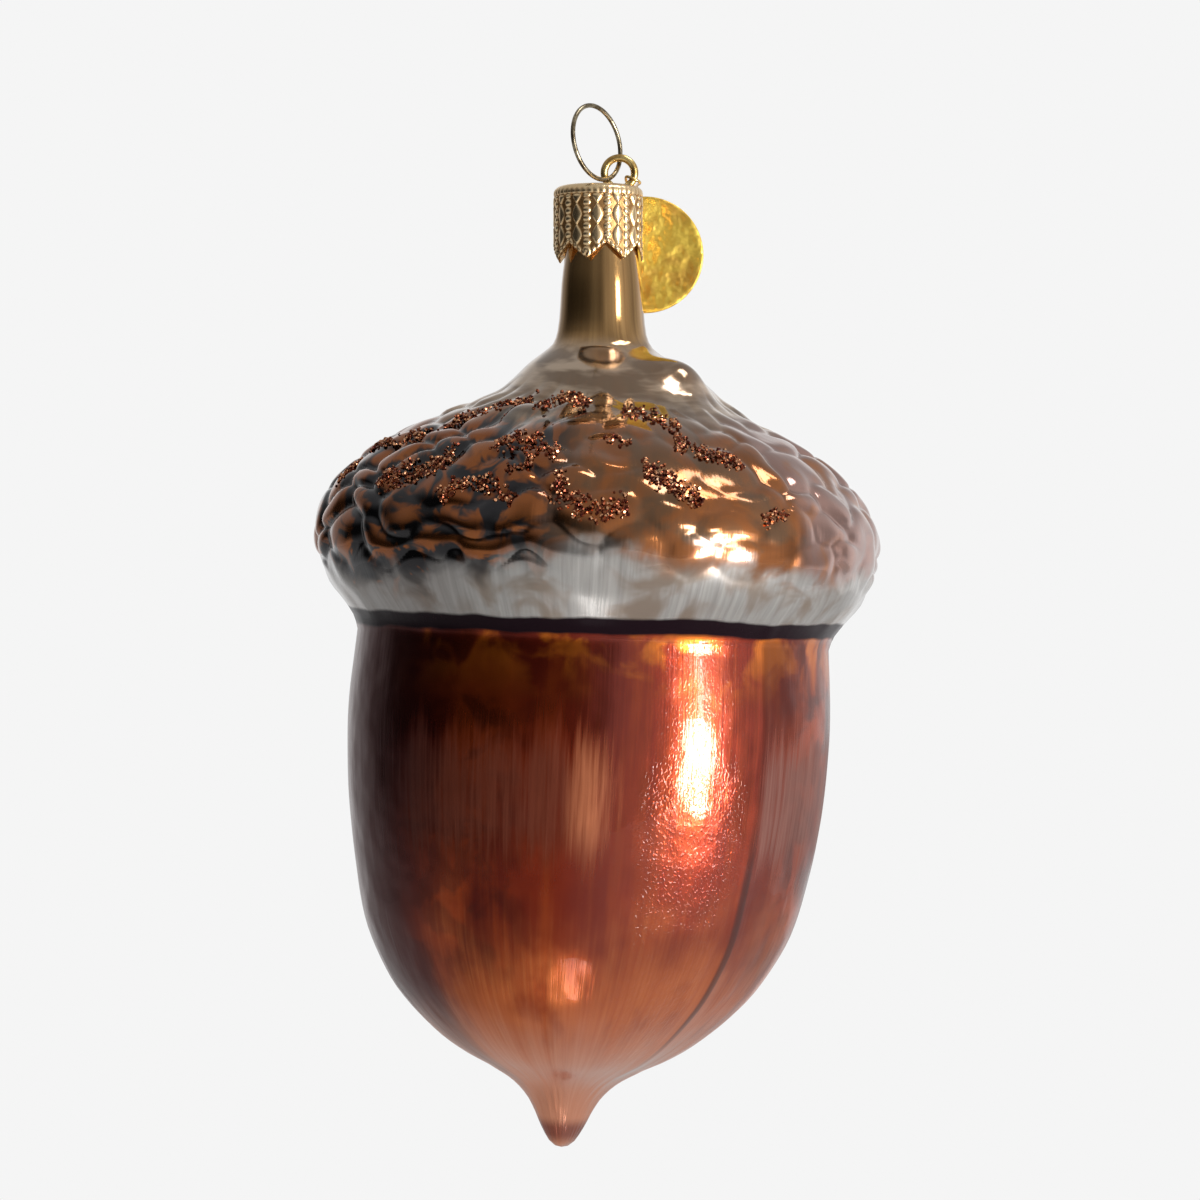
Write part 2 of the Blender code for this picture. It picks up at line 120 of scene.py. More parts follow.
# Wires
EYE_WIRE, EYE_RADIUS, EYE_OPEN = 0.9, 1.78, math.radians(-55.0)
EYE_Z = EYE_WIRE / 2 - EYE_RADIUS
RIGHT_LEG = [(0.82, -3.2), (0.72, -3.9), (0.74, -5.5), (0.85, -8.0), (1.0, -11.0)]
LEFT_LEG = [(-0.84, -3.2), (-0.95, -3.9), (-1.7, -5.5), (-2.9, -8.0), (-4.1, -11.0)]
RING_WIRE, RING_RADIUS = 0.55, 4.34
RING_CENTRE = Vector((-2.82, -2.2, 1.87))
RING_TURN, RING_LEAN = math.radians(39.0), math.radians(-9.0)
TIE_WIRE = 0.34
TIE_ROUTE = [
    (1.62, -0.88, -2.02), (0.92, -0.45, -1.76), (0.78, 0.55, -1.94), (0.98, 2.3, -2.33),
    (1.25, 4.0, -2.36), (1.50, 4.90, -2.95), (1.70, 5.03, -3.90), (1.80, 5.38, -4.50),
    (1.86, 5.85, -4.70), (1.86, 6.32, -4.50), (1.86, 6.66, -3.90), (1.92, 6.50, -3.10),
    (2.05, 5.80, -2.45), (2.20, 4.0, -2.24), (2.40, 2.0, -2.28), (2.46, 0.55, -2.30),
    (2.28, -0.52, -2.24),
]

# Tag
TAG_RADIUS, TAG_THICK = 6.95, 0.4
TAG_CENTRE = Vector((3.5, 5.85, -10.3))
TAG_LEAN = math.radians(-15.7)
TAG_HOLE, TAG_HOLE_OUT = 0.72, 5.58
TAG_BORDER, TAG_DISH = 0.75, 0.10

# Glitter: strokes of angle in degrees and height, each with its width
GRAIN = 0.46
GRAINS_PER_MM2 = 9.5
FRONT_STROKES = [
    ([(-141, 24.4), (-137, 25.9), (-130, 27.0), (-126, 27.9)], 2.0),
    ([(-116, 26.8), (-113, 27.9), (-107, 28.3), (-98, 27.5)], 1.7),
    ([(-83, 26.9), (-75, 26.6), (-70, 25.9), (-66, 25.1)], 1.8),
    ([(-89, 23.3), (-86, 23.1), (-83, 22.9)], 1.0),
    ([(-70, 23.6), (-66, 22.6), (-62, 21.9), (-56, 21.4)], 2.3),
    ([(-80, 19.9), (-77, 19.1), (-74, 18.0), (-70, 17.0)], 3.0),
    ([(-116, 22.1), (-111, 22.6), (-106, 22.2), (-101, 21.4)], 2.3),
    ([(-106, 20.6), (-107, 19.4), (-110, 19.0)], 1.3),
    ([(-99, 18.2), (-97, 16.6), (-93, 15.2), (-89, 14.8), (-85, 15.9)], 2.6),
    ([(-123, 15.9), (-119, 17.8), (-116, 17.9), (-111, 16.9), (-108, 15.8)], 1.8),
    ([(-142, 17.6), (-136, 18.4), (-131, 18.9), (-127, 20.6)], 2.8),
    ([(-168, 21.4), (-157, 22.0), (-146, 23.2)], 1.5),
    ([(-163, 17.3), (-164, 18.9), (-168, 20.2)], 1.9),
    ([(-55, 14.7), (-53, 15.5), (-50, 15.8)], 1.3),
]
BACK_TURN = 196.0

# Sides of the glass that are painted apart: angle, half width and soft edge, in degrees
# SHADED_LEFT is painted shade: the nut's left side is painted near black
SHADED_LEFT = (178.0, 36.0, 26.0)
NUT_RIGHT = (-18.0, 24.0, 8.0)
CUP_RIGHT = (-18.0, 24.0, 6.0)
CUP_FRONT = (-66.0, 24.0, 16.0)
RIM_FRONT = (-76.0, 12.0, 16.0)
# RIM_SHADED_LEFT is painted shade: the silver rim is painted darker on the left
RIM_SHADED_LEFT = (180.0, 48.0, 28.0)
GLOWING_SIDE = (-70.0, 20.0, 26.0)
GLOSSY_SIDE = (-62.0, 20.0, 16.0)
GRITTY_SIDE = (-64.0, 8.0, 9.0)
STROKED_SIDE = (-113.0, 20.0, 18.0)
PALE_STROKE = (-87.5, 3.0, 5.0)
LINED_SIDE = (-158.0, 10.0, 10.0)
MOULD_LINE = (-46.0, 0.5, 1.2)

# Colours of the paint that are used alone
SEAM_COLOUR = (0.010, 0.003, 0.006)
# LEFT_SHADE_COLOUR is painted shade: the near black of the nut's shaded left side
LEFT_SHADE_COLOUR = (0.085, 0.014, 0.012)
TIP_END_COLOUR = (0.36, 0.11, 0.07)

# Studio
LIT_MIDDLE = Vector((0.0, 0.0, -0.055))
FLOOR_HALF_SIDE, FLOOR_Z = 0.42, -0.21
BACKGROUND = 0.913


def smooth_line(points, steps_per_span, closed=False):
    """Points along a Catmull-Rom curve through the given ones."""
    points = [np.array(point, float) for point in points]
    count = len(points)
    line = []
    for i in range(count if closed else count - 1):
        if closed:
            a, b, c, d = (points[(i + k) % count] for k in (-1, 0, 1, 2))
        else:
            b, c = points[i], points[i + 1]
            a = points[i - 1] if i else 2 * b - c
            d = points[i + 2] if i + 2 < count else 2 * c - b
        for t in np.arange(steps_per_span) / steps_per_span:
            line.append(
                b + 0.5 * t * (c - a + t * (2 * a - 5 * b + 4 * c - d + t * (3 * (b - c) + d - a)))
            )
    if not closed:
        line.append(points[-1])
    return np.array(line)


def arc_lengths(line):
    return np.concatenate([[0.0], np.cumsum(np.linalg.norm(np.diff(line, axis=0), axis=1))])


def even_line(points, bands):
    """The smooth curve through the points, cut into bands of one length."""
    line = smooth_line(points, 24)
    along = arc_lengths(line)
    wanted = np.linspace(0.0, along[-1], bands + 1)
    return np.stack([np.interp(wanted, along, line[:, k]) for k in range(2)], axis=1)


def at_height(line, values, heights):
    return np.interp(-np.asarray(heights), -line[:, 1], values)


CUP_LINE = even_line(CUP_OUTLINE, 90)
CUP_ALONG = arc_lengths(CUP_LINE)


def scale_row(heights):
    """The row of scales at each height, counted down the cup, and the share of the scales above it."""
    top, foot = (at_height(CUP_LINE, CUP_ALONG, h) for h in (SCALES_TOP, SCALES_FOOT))
    t = (at_height(CUP_LINE, CUP_ALONG, heights) - top) / (foot - top)
    return SCALE_ROWS * ((1 - SCALE_ROW_GROWTH) * t + SCALE_ROW_GROWTH * t * t), t


def cup_bands():
    rows = scale_row(CUP_LINE[:, 1])[0]
    marks = np.concatenate([
        np.linspace(rows[0], 0.0, SHOULDER_BANDS, endpoint=False),
        np.linspace(0.0, SCALE_ROWS, SCALE_ROWS * BANDS_PER_ROW, endpoint=False),
        np.linspace(SCALE_ROWS, rows[-1], RIM_BANDS + 1),
    ])
    return np.stack([np.interp(marks, rows, CUP_LINE[:, k]) for k in range(2)], axis=1)


def outward(outline):
    """Unit normals of an outline that runs downwards."""
    run = np.gradient(outline, axis=0)
    normal = np.stack([-run[:, 1], run[:, 0]], axis=1)
    return normal / np.linalg.norm(normal, axis=1)[:, None]


def axis_shift(heights):
    """How far the glass's middle lies to the right of its axis at each height."""
    rise = heights - NECK_BEND
    lean = -math.tan(NECK_LEAN) * (rise + np.hypot(rise, NECK_BEND_SPREAD)) / 2
    shoulder = SHOULDER_SET * np.exp(-(((heights - SHOULDER_MIDDLE) / SHOULDER_SPREAD) ** 2))
    fall = 1 / (1 + np.exp((heights - TIP_BEND) / TIP_BEND_SPREAD))
    return lean + shoulder - TIP_PULL * fall


def scale_field(turns, rows):
    """0 in the valleys and 1 on the crests of staggered, rounded scales."""
    best = np.zeros_like(rows)
    for k in (np.floor(rows), np.floor(rows) + 1):
        across = turns * SCALES_ROUND + 0.5 * (k % 2)
        beside = (across - np.round(across)) / SCALE_WIDTH
        along = (rows - k) / SCALE_LENGTH
        best = np.maximum(best, 1 - beside**2 - along**2)
    return best


def share(value, start, end):
    return np.clip((value - start) / (end - start), 0.0, 1.0)


def scale_height(angles, rows, t):
    fade = share(t, 0.0, FADE_IN) * share(1.0 - t, 0.0, FADE_OUT)
    soft = SOFT_SHARE * np.exp(-(((angles - SOFT_SIDE) / SOFT_SPREAD) ** 2))
    upper = FIRST_SHARE + (1 - FIRST_SHARE) * share(t, *GROWN)
    wide = UNEVEN_WIDE * np.sin(3 * angles + 1.1 * rows)
    narrow = UNEVEN_NARROW * np.sin(5 * angles - 0.7 * rows)
    return SCALE_HEIGHT * fade * upper * (1 - soft) * (1 + wide + narrow)


def uneven(angles, radii, heights, pitch, seed):
    """Smooth noise over the glass, in lumps of about the given pitch in mm."""
    spots = np.stack([radii * np.cos(angles), radii * np.sin(angles), heights], axis=1) / pitch + seed
    return np.array([noise.noise(spot) for spot in spots.tolist()])


def relief(angles, radii, heights):
    """How far the surface stands proud of the turned outline, and how near it is to a crest."""
    rows, t = scale_row(heights)
    aside = angles + WANDER_ROUND * uneven(angles, radii, heights, WANDER_PITCH, 3.1)
    down = rows + WANDER_DOWN * uneven(angles, radii, heights, WANDER_PITCH, 11.7)
    field = scale_field(aside / math.tau, down)
    strength = 1 + PATCHY * uneven(angles, radii, heights, PATCH_PITCH, 23.4)
    high = strength * scale_height(angles, rows, t) * (field - SCALE_VALLEY)
    soft = 1 - SOFT_SHARE * np.exp(-(((angles - SOFT_SIDE) / SOFT_SPREAD) ** 2))
    on_scales = share(t, 0.0, FADE_IN) * share(1.0 - t, -0.25, 0.15)
    high += LUMP_HEIGHT * soft * on_scales * uneven(angles, radii, heights, LUMP_PITCH, 41.0)
    high += WAVE_HEIGHT * uneven(angles, radii, heights * 0.6, WAVE_PITCH, 67.0)
    high = np.minimum(high, FULL_HEIGHT) + SHARE_ABOVE * np.maximum(high - FULL_HEIGHT, 0.0)
    place = np.stack([radii * np.cos(angles), radii * np.sin(angles), heights], axis=1)
    away = np.linalg.norm(place - SWELL_AT, axis=1) / SWELL_SPREAD
    high = high + SWELL_HEIGHT * np.exp(-away * away)
    for seam in (SEAM_ANGLE, SEAM_ANGLE + math.pi):
        off = (angles - seam + math.pi) % math.tau - math.pi
        ridge = np.exp(-((off * radii / SEAM_WIDTH) ** 2))
        high += SEAM_HEIGHT * ridge * share(SEAM_TOP - heights, 0.0, SEAM_FADE)
    return high, field * share(t, 0.0, FADE_IN) * share(1.0 - t, 0.0, FADE_OUT)


def glass_side():
    """Outside of the glass from the neck's rim down to the tip."""
    return np.concatenate([
        even_line(NECK_OUTLINE, NECK_BANDS), cup_bands()[1:], even_line(NUT_OUTLINE, NUT_BANDS)[1:],
        even_line(TIP_OUTLINE, TIP_BANDS)[1:],
    ])


def skin_points(side, normals, angles, heights):
    """Points of the pressed and leaning skin, in metres, and the crest share at each."""
    radii = at_height(side, side[:, 0], heights)
    on_body = (heights > NUT_OUTLINE[-1][1]) & (heights < CUP_OUTLINE[0][1])
    proud, crest = relief(angles, radii, heights)
    proud = np.where(on_body, proud, 0.0)
    out, up = (at_height(side, normals[:, k], heights) for k in range(2))
    reach = radii + out * proud
    points = np.stack([
        reach * np.cos(angles) + BODY_X + axis_shift(heights), reach * np.sin(angles),
        heights + up * proud + GROOVE_Z,
    ], axis=1)
    return points * MM, np.where(on_body, crest, 0.0)


def spun(outline, steps):
    """A closed turned body from an outline whose two ends lie on the axis."""
    work = bmesh.new()
    verts = [work.verts.new((radius, 0.0, height)) for radius, height in outline]
    edges = [work.edges.new(pair) for pair in zip(verts, verts[1:])]
    bmesh.ops.spin(
        work, geom=verts + edges, cent=(0, 0, 0), axis=(0, 0, 1), dvec=(0, 0, 0), angle=math.tau,
        steps=steps, use_merge=True,
    )
    bmesh.ops.remove_doubles(work, verts=work.verts, dist=0.0001)
    bmesh.ops.recalc_face_normals(work, faces=work.faces)
    return work


def mesh_object(name, work, material):
    mesh = bpy.data.meshes.new(name)
    work.to_mesh(mesh)
    work.free()
    obj = bpy.data.objects.new(name, mesh)
    bpy.context.scene.collection.objects.link(obj)
    mesh.materials.append(material)
    mesh.shade_smooth()
    return obj


def coordinates(mesh):
    flat = np.empty(3 * len(mesh.vertices), np.float32)
    mesh.vertices.foreach_get("co", flat)
    return flat.reshape(-1, 3).astype(float)


def move_vertices(mesh, points):
    mesh.vertices.foreach_set("co", points.astype(np.float32).ravel())
    mesh.update()


def make_glass(material):
    """The glass with its pressed scales, hollow and open at the neck's rim."""
    side = glass_side()
    normals = outward(side)
    bore = side[side[:, 1] > NUT_OUTLINE[-1][1]][::BANDS_PER_BORE_BAND]
    wall = np.interp(bore[:, 1], (BODY_WALL_BELOW, NECK_WALL_ABOVE), (BODY_WALL, NECK_WALL))
    bore = bore - outward(bore) * wall[:, None]
    outline = np.concatenate([[(0.0, BORE_END)], bore[::-1], side, [(0.0, TIP_END)]])
    glass = mesh_object("acorn_glass", spun(outline, GLASS_STEPS), material)
    points = coordinates(glass.data)
    angles = np.arctan2(points[:, 1], points[:, 0])
    heights = points[:, 2].copy()
    reach = np.hypot(points[:, 0], points[:, 1])
    outside = reach > at_height(side, side[:, 0], heights) - NECK_WALL / 2
    skin, crest = skin_points(side, normals, angles, heights)
    inside = points * MM
    inside[:, 0] += (BODY_X + axis_shift(heights)) * MM
    inside[:, 2] += GROOVE_Z * MM
    move_vertices(glass.data, np.where(outside[:, None], skin, inside))
    place = np.stack([np.cos(angles), np.sin(angles), heights], axis=1)
    keep_attribute(glass.data, "place", "FLOAT_VECTOR", "vector", place)
    keep_attribute(glass.data, "crest", "FLOAT", "value", np.where(outside, crest, 0.0))
    return glass


def keep_attribute(mesh, name, kind, field, values):
    layer = mesh.attributes.new(name, kind, "POINT")
    layer.data.foreach_set(field, np.asarray(values, np.float32).ravel())


def make_glitter(side, material):
    """Grains strewn along brushed strokes of glue on the cup, fewer towards each stroke's edge."""
    draw = random.Random(7)
    strokes = list(FRONT_STROKES)
    for points, width in FRONT_STROKES:
        rise = draw.uniform(-0.8, 0.8)
        strokes.append(([(BACK_TURN + angle, height + rise) for angle, height in points], width))
    normals = outward(side)
    together = bmesh.new()
    for points, width in strokes:
        angles, heights = np.array(strewn(draw, side, points, width)).T
        places, _ = skin_points(side, normals, angles, heights)
        out, up = (at_height(side, normals[:, k], heights) for k in range(2))
        grains = bmesh.new()
        for place, angle, aside, rise in zip(places, angles, out, up):
            normal = Vector((aside * math.cos(angle), aside * math.sin(angle), rise))
            add_grain(grains, draw, Vector(place), normal)
        stroke = bpy.data.meshes.new("stroke")
        grains.to_mesh(stroke)
        grains.free()
        together.from_mesh(stroke)
        bpy.data.meshes.remove(stroke)
    glitter = mesh_object("glitter", together, material)
    glitter.data.shade_flat()
    return glitter


def strewn(draw, side, points, width):
    """Angles and heights of the grains of one stroke."""
    line = smooth_line(points, 12)
    degree = math.radians(1) * float(at_height(side, side[:, 0], line[0, 1]))
    run = arc_lengths(line * [degree, 1.0])
    spots = []
    for _ in range(int(GRAINS_PER_MM2 * width * (run[-1] + 0.6 * width))):
        along = draw.uniform(-0.3 * width, run[-1] + 0.3 * width)
        across = draw.triangular(-0.62, 0.62, 0.0) * width
        angle = float(np.interp(along, run, line[:, 0])) + draw.gauss(0, 0.5)
        ahead, behind = (float(np.interp(along + step, run, line[:, 1])) for step in (0.5, -0.5))
        slope = ahead - behind
        height = (ahead + behind) / 2 + across * math.sqrt(max(0.15, 1 - slope * slope))
        spots.append((math.radians(angle - across * slope / degree), height))
    return spots


def add_grain(grains, draw, point, normal):
    size = GRAIN * draw.uniform(0.6, 1.15) * MM
    seat = normal.to_track_quat("Z", "Y").to_matrix().to_4x4()
    tilt = Matrix.Rotation(draw.uniform(0, 0.8), 4, Vector((draw.gauss(0, 1), draw.gauss(0, 1), 0.01)))
    turn = Matrix.Rotation(draw.uniform(0, math.tau), 4, "Z")
    place = Matrix.Translation(point + normal * draw.uniform(0.1, 0.55) * size)
    bmesh.ops.create_cone(
        grains, cap_ends=True, segments=5, radius1=0.55 * size, radius2=0.38 * size,
        depth=0.42 * size, matrix=place @ seat @ tilt @ turn,
    )


def tooth(angles):
    place = (angles - TOOTH_PHASE + math.pi / 2) * CAP_TEETH / math.tau
    return 1 - 2 * np.abs(place - np.round(place))


def cap_outline():
    """The cap's wall in mm, from the middle of its inside, round the hem, to the middle of its top."""
    bend = CAP_RADIUS - CAP_FLAT
    turns = np.linspace(0.0, math.pi / 2, 7)
    shoulder = [(CAP_FLAT + bend * math.sin(a), -CAP_SHOULDER * (1 - math.cos(a))) for a in turns]
    top = [(radius, 0.0) for radius in np.linspace(0.0, CAP_FLAT, 9)[:-1]]
    skirt = [(CAP_RADIUS, height) for height in np.linspace(-CAP_SHOULDER, -CAP_SKIRT, 66)[1:]]
    outer = top + shoulder + skirt
    inner = [(CAP_RADIUS - CAP_WALL, height) for height in (-CAP_SKIRT, -CAP_SKIRT / 2)]
    inner += [(radius - CAP_WALL, height - CAP_WALL) for radius, height in shoulder[::-2]]
    return [(0.0, -CAP_WALL)] + inner[::-1] + outer[::-1]


def cap_relief(angles, depths):
    """Stamped pattern: columns of beads and of pointed leaves by turns, under a crimped band."""
    column = (angles / math.tau * COLUMNS_ROUND) % 1.0
    in_beads = column < BEAD_SHARE
    beside = np.where(in_beads, column / BEAD_SHARE, (column - BEAD_SHARE) / (1 - BEAD_SHARE)) - 0.5
    bead_row = (depths / BEAD_PITCH) % 1.0 - 0.5
    bead = np.clip(1 - (beside / 0.46) ** 2 - (bead_row / 0.47) ** 2, 0.0, 1.0)
    leaf_row = (depths / LEAF_PITCH) % 1.0 - 0.5
    half = 0.44 * np.clip(1 - (np.abs(leaf_row) / 0.5) ** 1.6, 0.05, 1.0)
    leaf = np.clip(1 - (np.abs(beside) / half) ** 2, 0.0, 1.0)
    high = np.where(in_beads, np.sqrt(bead), 0.9 * np.sqrt(leaf))
    crimp = 0.5 + 0.5 * np.sin(angles * CRIMPS_ROUND)
    high = np.where(depths < CRIMP_HEIGHT, 0.30 + 0.35 * crimp, high)
    groove = np.exp(-(((depths - CRIMP_HEIGHT) / 0.14) ** 2))
    return BEAD_HIGH * (high - 0.6) - 0.10 * groove


def hem_beads(angles, to_hem):
    """A row of beads along the pointed hem."""
    across = (angles * HEM_BEADS_PER_RADIAN) % 1.0 - 0.5
    down = (to_hem - 0.42) / 0.34
    return np.sqrt(np.clip(1 - across**2 / 0.2 - down**2, 0.0, 1.0))


def make_cap(material):
    cap = mesh_object("stamped_cap", spun(cap_outline(), CAP_STEPS), material)
    points = coordinates(cap.data)
    angles = np.arctan2(points[:, 1], points[:, 0])
    radii = np.hypot(points[:, 0], points[:, 1])
    depths = -points[:, 2]
    teeth = TOOTH_DEPTH * tooth(angles) * share(depths, 0.55 * CAP_SKIRT, CAP_SKIRT) ** 1.5
    outside = radii > CAP_RADIUS - CAP_WALL / 2
    to_hem = (CAP_SKIRT - depths) + (TOOTH_DEPTH * tooth(angles) - teeth)
    proud = cap_relief(angles, depths + teeth)
    near_hem = share(to_hem, 0.25, 0.95)
    proud = proud * near_hem + (1 - near_hem) * BEAD_HIGH * (hem_beads(angles, to_hem) - 0.6)
    proud = np.where(outside, proud * share(depths, 0.15, 0.5), 0.0)
    reach = radii + proud
    shaped = np.stack([reach * np.cos(angles), reach * np.sin(angles), -depths - teeth], axis=1)
    move_vertices(cap.data, shaped * MM)
    keep_attribute(cap.data, "crest", "FLOAT", "value", proud / BEAD_HIGH + 0.6)
    place = Matrix.Translation(CAP_TOP * MM) @ Matrix.Rotation(-NECK_LEAN, 4, "Y")
    cap.data.transform(place)
    return cut_slot(cap)


def cut_slot(cap):
    work = bmesh.new()
    bmesh.ops.create_cone(
        work, cap_ends=True, segments=48, radius1=SLOT_WIDTH / 2, radius2=SLOT_WIDTH / 2, depth=2.0
    )
    bmesh.ops.scale(work, vec=(SLOT_LENGTH / SLOT_WIDTH, 1.0, 1.0), verts=work.verts)
    bmesh.ops.translate(work, vec=(0.0, 0.0, CAP_TOP.z), verts=work.verts)
    bmesh.ops.scale(work, vec=(MM, MM, MM), verts=work.verts)
    cut(cap, work)
    return cap


def cut(piece, work):
    """Takes the closed shape in work out of a piece."""
    cutter = mesh_object("cutter", work, piece.data.materials[0])
    boolean = piece.modifiers.new("cut", "BOOLEAN")
    boolean.operation = "DIFFERENCE"
    boolean.object = cutter
    bpy.context.view_layer.update()
    graph = bpy.context.evaluated_depsgraph_get()
    mesh = bpy.data.meshes.new_from_object(piece.evaluated_get(graph))
    piece.modifiers.clear()
    piece.data = mesh
    bpy.data.objects.remove(cutter)


def wire(name, points, diameter, material, closed=False):
    """A round wire as a mesh, through points in mm."""
    data = bpy.data.curves.new(name, "CURVE")
    data.dimensions = "3D"
    data.bevel_depth = diameter / 2 * MM
    data.bevel_resolution = 6
    data.use_fill_caps = True
    spline = data.splines.new("POLY")
    spline.points.add(len(points) - 1)
    for place, point in zip(spline.points, points):
        place.co = (*(Vector(point) * MM), 1.0)
    spline.use_cyclic_u = closed
    spline.use_smooth = True
    curve = bpy.data.objects.new(name + "_curve", data)
    bpy.context.scene.collection.objects.link(curve)
    bpy.context.view_layer.update()
    graph = bpy.context.evaluated_depsgraph_get()
    mesh = bpy.data.meshes.new_from_object(curve.evaluated_get(graph))
    bpy.data.objects.remove(curve)
    work = bmesh.new()
    work.from_mesh(mesh)
    bmesh.ops.remove_doubles(work, verts=work.verts, dist=0.0000005)
    bmesh.ops.recalc_face_normals(work, faces=work.faces)
    bpy.data.meshes.remove(mesh)
    return mesh_object(name, work, material)


def make_hanger(material):
    turns = np.linspace(EYE_OPEN, math.pi - EYE_OPEN, 97)
    eye = [(EYE_RADIUS * math.cos(a), 0.0, EYE_Z + EYE_RADIUS * math.sin(a)) for a in turns]
    right = smooth_line([(x, 0.0, z) for x, z in RIGHT_LEG], 8)
    left = smooth_line([(x, 0.0, z) for x, z in LEFT_LEG], 8)
    return wire("wire_eye", list(right[::-1]) + eye + list(left), EYE_WIRE, material)


def make_ring(material):
    across = Vector((math.sin(RING_TURN), math.cos(RING_TURN), 0.0))
    upward = Vector((math.sin(RING_LEAN), 0.0, math.cos(RING_LEAN)))
    turns = np.arange(144) / 144 * math.tau
    points = [RING_CENTRE + RING_RADIUS * (math.cos(a) * across + math.sin(a) * upward) for a in turns]
    return wire("thread_wire_ring", points, RING_WIRE, material, closed=True)


def make_tie(material):
    return wire("tag_tie", smooth_line(TIE_ROUTE, 10, closed=True), TIE_WIRE, material, closed=True)


def tag_outline():
    """Half the section of the tag: a dished face with a raised, rounded border, back and front alike."""
    half = TAG_THICK / 2
    inner = TAG_RADIUS - TAG_BORDER
    face = [(0.0, half - TAG_DISH), (inner * 0.6, half - TAG_DISH), (inner - 0.25, half - TAG_DISH)]
    border = [(inner, half - 0.3 * TAG_DISH), (inner + 0.22, half), (TAG_RADIUS - 0.16, half)]
    edge = [(TAG_RADIUS - 0.04, half - 0.06), (TAG_RADIUS, half - 0.14)]
    front = face + border + edge
    return front + [(radius, -height) for radius, height in front[::-1]]


def make_tag(material):
    upright = Matrix.Rotation(math.pi / 2, 3, "X")
    work = spun(tag_outline(), 128)
    bmesh.ops.rotate(work, cent=(0, 0, 0), matrix=upright, verts=work.verts)
    bmesh.ops.translate(work, vec=TAG_CENTRE, verts=work.verts)
    bmesh.ops.scale(work, vec=(MM, MM, MM), verts=work.verts)
    tag = mesh_object("bare_tag", work, material)
    hole = bmesh.new()
    bmesh.ops.create_cone(
        hole, cap_ends=True, segments=40, radius1=TAG_HOLE, radius2=TAG_HOLE, depth=2.0
    )
    bmesh.ops.rotate(hole, cent=(0, 0, 0), matrix=upright, verts=hole.verts)
    up = Vector((math.sin(TAG_LEAN), 0.0, math.cos(TAG_LEAN)))
    bmesh.ops.translate(hole, vec=TAG_CENTRE + TAG_HOLE_OUT * up, verts=hole.verts)
    bmesh.ops.scale(hole, vec=(MM, MM, MM), verts=hole.verts)
    cut(tag, hole)
    tag.data.set_sharp_from_angle(angle=math.radians(40))
    return tag


class Nodes:
    """A node tree, with short ways to add nodes to it."""

    def __init__(self, tree):
        self.tree = tree

    def put(self, value, socket):
        """Links a socket, or sets a plain value."""
        if isinstance(value, bpy.types.NodeSocket):
            self.tree.links.new(value, socket)
        else:
            socket.default_value = value

    def put_colour(self, colour, socket):
        self.put(colour if isinstance(colour, bpy.types.NodeSocket) else (*colour, 1.0), socket)

    def math(self, operation, *values, clamp=False):
        made = self.tree.nodes.new("ShaderNodeMath")
        made.operation = operation
        made.use_clamp = clamp
        for value, socket in zip(values, made.inputs):
            self.put(value, socket)
        return made.outputs[0]

    def add(self, a, b):
        return self.math("ADD", a, b)

    def times(self, a, b):
        return self.math("MULTIPLY", a, b)

    def less(self, a):
        """One less the value."""
        return self.math("SUBTRACT", 1.0, a, clamp=True)

    def step(self, value, start, end):
        """Smoothly 0 to 1 between start and end."""
        made = self.tree.nodes.new("ShaderNodeMapRange")
        made.interpolation_type = "SMOOTHSTEP"
        self.put(value, made.inputs["Value"])
        made.inputs["From Min"].default_value = min(start, end)
        made.inputs["From Max"].default_value = max(start, end)
        made.inputs["To Min"].default_value = 0.0 if start < end else 1.0
        made.inputs["To Max"].default_value = 1.0 if start < end else 0.0
        return made.outputs["Result"]

    def band(self, value, low, high, soft):
        """1 between low and high, and 0 past a soft edge on either side."""
        above = self.step(value, low - soft, low + soft)
        return self.times(above, self.step(value, high + soft, high - soft))

    def attribute(self, name, output="Fac"):
        made = self.tree.nodes.new("ShaderNodeAttribute")
        made.attribute_name = name
        return made.outputs[output]

    def object_place(self):
        return self.tree.nodes.new("ShaderNodeTexCoord").outputs["Object"]

    def stretched(self, vector, scale):
        made = self.tree.nodes.new("ShaderNodeMapping")
        self.put(vector, made.inputs["Vector"])
        made.inputs["Scale"].default_value = scale
        return made.outputs["Vector"]

    def parts(self, vector):
        made = self.tree.nodes.new("ShaderNodeSeparateXYZ")
        self.put(vector, made.inputs[0])
        return made.outputs

    def noise(self, vector, scale, detail=3.0, roughness=0.5, distortion=0.0):
        made = self.tree.nodes.new("ShaderNodeTexNoise")
        self.put(vector, made.inputs["Vector"])
        made.inputs["Scale"].default_value = scale
        made.inputs["Detail"].default_value = detail
        made.inputs["Roughness"].default_value = roughness
        made.inputs["Distortion"].default_value = distortion
        return made.outputs["Fac"]

    def mix(self, factor, a, b):
        """Colour a, turning to b as the factor goes to 1."""
        made = self.tree.nodes.new("ShaderNodeMix")
        made.data_type = "RGBA"
        self.put(factor, made.inputs["Factor"])
        self.put_colour(a, made.inputs[6])
        self.put_colour(b, made.inputs[7])
        return made.outputs[2]

    def blend(self, factor, a, b):
        """Number a, turning to b as the factor goes to 1."""
        made = self.tree.nodes.new("ShaderNodeMix")
        made.data_type = "FLOAT"
        for value, socket in ((factor, made.inputs[0]), (a, made.inputs[2]), (b, made.inputs[3])):
            self.put(value, socket)
        return made.outputs[0]


